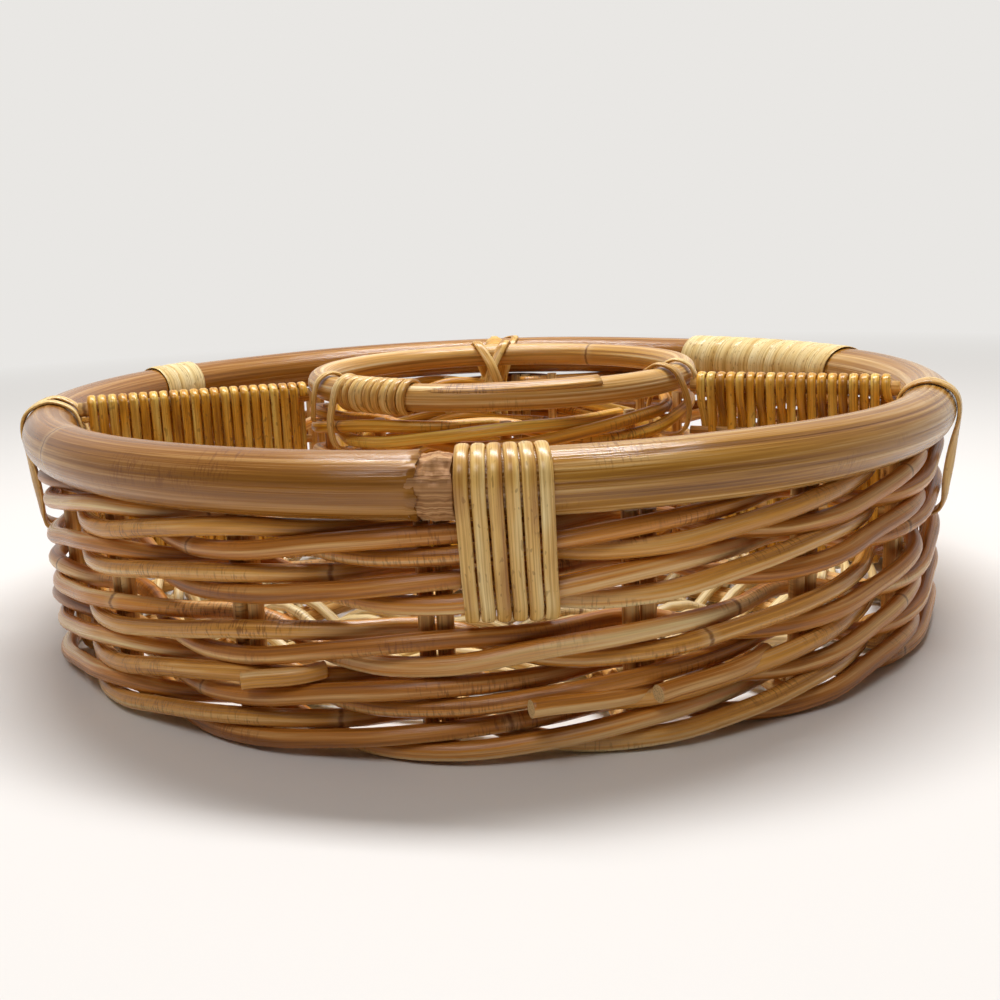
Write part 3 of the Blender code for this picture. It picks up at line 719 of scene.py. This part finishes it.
for name, middle, pitch, width, gather, twist in (
        ("left", 194.9, 13.5, 5.6, 0.25, 32),
        ("right", -23.6, 5.6, 5.6, 0.7, -32),
        ("back", 88.8, 12, 4.4, 0.4, 0)):
    points, across = wound(over_rim, middle, loops=2, pitch=pitch, radius=RIM_RADIUS, steps=5,
                           gather=gather, twist=twist)
    binding = cane(f"{name}_end_binding", points, across, width, thick=1.6, along=middle)
    binding.data.materials.append(pale_cane)
    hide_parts(f"{name}_rim_binding")


# Wraps on the rim.
# Wide flat cane is wound turn on turn round the rim pole: a long wrap over the joint at the back
# right, and a narrow one on the left.

# The same cane, creamier, so the wraps look paler and more even than the bindings.
creamy_cane = split_cane("waxed_split_cane_creamy", "#FAEAB8", "#F2D898", "#D8B268")
wrap_radius, wrap_slack = 10.75, 0.45
for name, node, first, last, turns in (("back_right_wrap", "back_wrap", 17, 50.5, 9),
                                       ("left_rim_wrap", "side_band", 148.4, 157.2, 3)):
    pitch = (last - first) * math.radians(1) * RIM_RADIUS / turns
    section = []
    for k in range(12):
        over, out = math.sin(TURN * (k + 9) / 12), math.cos(TURN * (k + 9) / 12)
        wide = wrap_radius + wrap_slack * (1 - over)
        high = wrap_radius + (wrap_slack if over > -0.1 else 0)
        section.append((RIM_RADIUS + wide * out, RIM_HEIGHT + high * over, k / 12))
    points, across = wound(section, (first + last) / 2, turns, pitch, RIM_RADIUS, steps=3)
    band = cane(name, points, across, pitch * 0.99, thick=0.9, along=first, sides=16)
    band.data.materials.append(creamy_cane)
    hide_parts(node)


# Wrap and ties of the inner ring.
# Nine tight turns of cane hold the ring's ends at the front left, and one end runs on to the right
# as a thin tongue. Looser turns tie the ring to each divider and go under the top row of rods.

lift = math.radians(58)
tongue_start, tongue_span, tongue_steps = -115, 51.3, 24
points, across = [], []
for i in range(tongue_steps + 1):
    angle = tongue_start + i * tongue_span / tongue_steps
    proud = 3.9 + 1.4 * i / tongue_steps
    points.append(polar(angle, RING_RADIUS + proud * math.cos(lift),
                        RING_HEIGHT + proud * math.sin(lift), RING_CENTRE))
    across.append(polar(angle, -math.sin(lift), 0) + Vector((0, 0, math.cos(lift) * MM)))
tongue = cane("ring_tongue", points, across, width=5.6, thick=2.2, along=0.2)
tongue.data.materials.append(ring_pole_skin)

hug_radius = 6.25
hug = []
for k in range(12):
    turn = TURN * (k + 8) / 12
    hug.append((RING_RADIUS + hug_radius * math.cos(turn),
                RING_HEIGHT + hug_radius * math.sin(turn), k / 12))
points, across = wound(hug, middle=RING_JOINT, loops=9, pitch=3.75, radius=RING_RADIUS,
                       centre=RING_CENTRE, steps=3)
wrap = cane("ring_wrap", points, across, width=3.7, thick=1.7, along=0.3)
wrap.data.materials.append(pale_cane)
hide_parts("inner_ring_wrap")

for name, nodes, places in (
        ("left", (), [
            (-141.5, 72.5, 99.5), (-140.5, 78, 102.2), (-140.3, 83.6, 99.2), (-141, 85.8, 92),
            (-142.3, 86.4, 83), (-143, 84, 75), (-145, 77.5, 72.2), (-148, 70.5, 74),
            (-150, 67.2, 82), (-151, 70.5, 93), (-151.5, 73.4, 99.6), (-152, 78, 102),
            (-152.3, 83.6, 99.2), (-152.6, 85.8, 92), (-153, 86.3, 83)]),
        ("right", ("right_ring_tie",), [
            (-38.5, 72.5, 99.3), (-38, 78, 102), (-36, 83.6, 99.2), (-33.5, 85.8, 92),
            (-31, 86.4, 83), (-30, 84, 75), (-29, 77.5, 72.2), (-28, 70.5, 74),
            (-27.5, 67.2, 82), (-27.5, 70.5, 93), (-27, 73.4, 99.6), (-25.5, 78, 102),
            (-24, 83.6, 99.2), (-22, 85.8, 92), (-20.5, 86.3, 83)]),
        ("back", ("back_ring_tie",), [
            (95.5, 66.6, 80), (93, 68.6, 90), (89, 73.0, 99.3), (87.6, 78, 101.9),
            (87.6, 83.2, 99.3), (88.5, 85.6, 92), (90, 86.2, 83), (91.5, 84, 75),
            (92.5, 77.5, 72.2), (91.5, 70, 74), (90.5, 66.4, 80), (93, 66.8, 90),
            (97, 72.6, 99.3), (98.1, 78, 101.9), (98, 83.2, 99.3), (96.5, 85.6, 92),
            (94.5, 86, 84)])):
    points, across = laid(places, steps=5, centre=RING_CENTRE)
    tie = cane(f"{name}_loose_tie", points, across, width=4.6, thick=1.5, along=places[0][0])
    tie.data.materials.append(pale_cane)
    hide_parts(*nodes)


# Dividers.
# A rail just below the rim and a rod near the floor, with three thin rods between them. Fine cane
# is laced round both, turn beside turn, and every second turn passes behind the thin rods.

def beside(angle, along, side, height):
    """A point along the divider at an angle, and to one side of it, given in metres."""
    away = polar(angle, 1, 0) / MM
    sideways = polar(angle + 90, 1, 0) / MM
    from_centre = (away * along + sideways * side) * MM
    return from_centre + Vector((RING_CENTRE * MM, 0, height * MM))


# Fine cane with its skin on: golden, with a bright bead of light on each turn over the rail.
golden_cane = split_cane("waxed_split_cane_golden", "#F8DE7C", "#EEB03A", "#A26A1A")
near, rail_near = 83.6, 83.8
lace_pitch, lace_margin = 3.95, 2
for name, angle, rail_far, far in (
        ("left", 194.5, 174.5, 171.0), ("right", -23.5, 164.4, 160.9),
        ("back", 90.5, 169.3, 165.8)):
    for piece, node, height, thickness, start, end in (
            ("top_rail", "rail", 91.5, 5.8, rail_near, rail_far),
            ("bottom_rod", "rod", 27.0, 4.8, near, far),
            ("low_rod", None, 43, 3.4, near, far),
            ("middle_rod", None, 58, 3.4, near, far),
            ("high_rod", None, 73, 3.4, near, far)):
        path = [beside(angle, start + (end - start) * i / 6, 0, height) for i in range(7)]
        bar = rod(f"{name}_divider_{piece}", path, thickness, sides=12, steps=3,
                  along=height / 50)
        bar.data.materials.append(plain_rattan)
        if node:
            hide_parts(f"{name}_divider_{node}")

    loops = int((far - near - 2 * lace_margin) / lace_pitch)
    corners = []
    for loop in range(loops + 1):
        start = far - lace_margin - lace_pitch * (loops - loop)
        front = -3.6 if loop % 2 else 2.7
        turn = [(4.5, 91.5, 0), (3.4, 95.0, 0.05), (0, 96.2, 0.1), (-3.4, 95.0, 0.15),
                (-4.5, 91.5, 0.2)]
        if loop < loops:
            turn += [(-3.9, 86, 0.25), (front, 73, 0.4), (front, 58, 0.45), (front, 43, 0.5),
                     (-3.9, 29, 0.6), (-2.8, 23.8, 0.65), (0, 22.9, 0.7), (2.8, 23.8, 0.75),
                     (3.9, 27, 0.8), (4.5, 50, 0.9), (4.5, 73, 1.0)]
        else:
            turn += [(-3.4, 88.0, 0.4), (0, 86.8, 0.6), (3.4, 88.0, 0.8)]
        for side, height, gone in turn:
            corners.append(beside(angle, start + lace_pitch * gone, side, height))
    line = flowing(corners, 3)
    lacing = cane(f"{name}_divider_cane", line, [polar(angle, 1, 0)] * len(line), width=3.4,
                  thick=1.8, sides=10, along=angle)
    lacing.data.materials.append(golden_cane)
    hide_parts(f"{name}_divider_lacing")
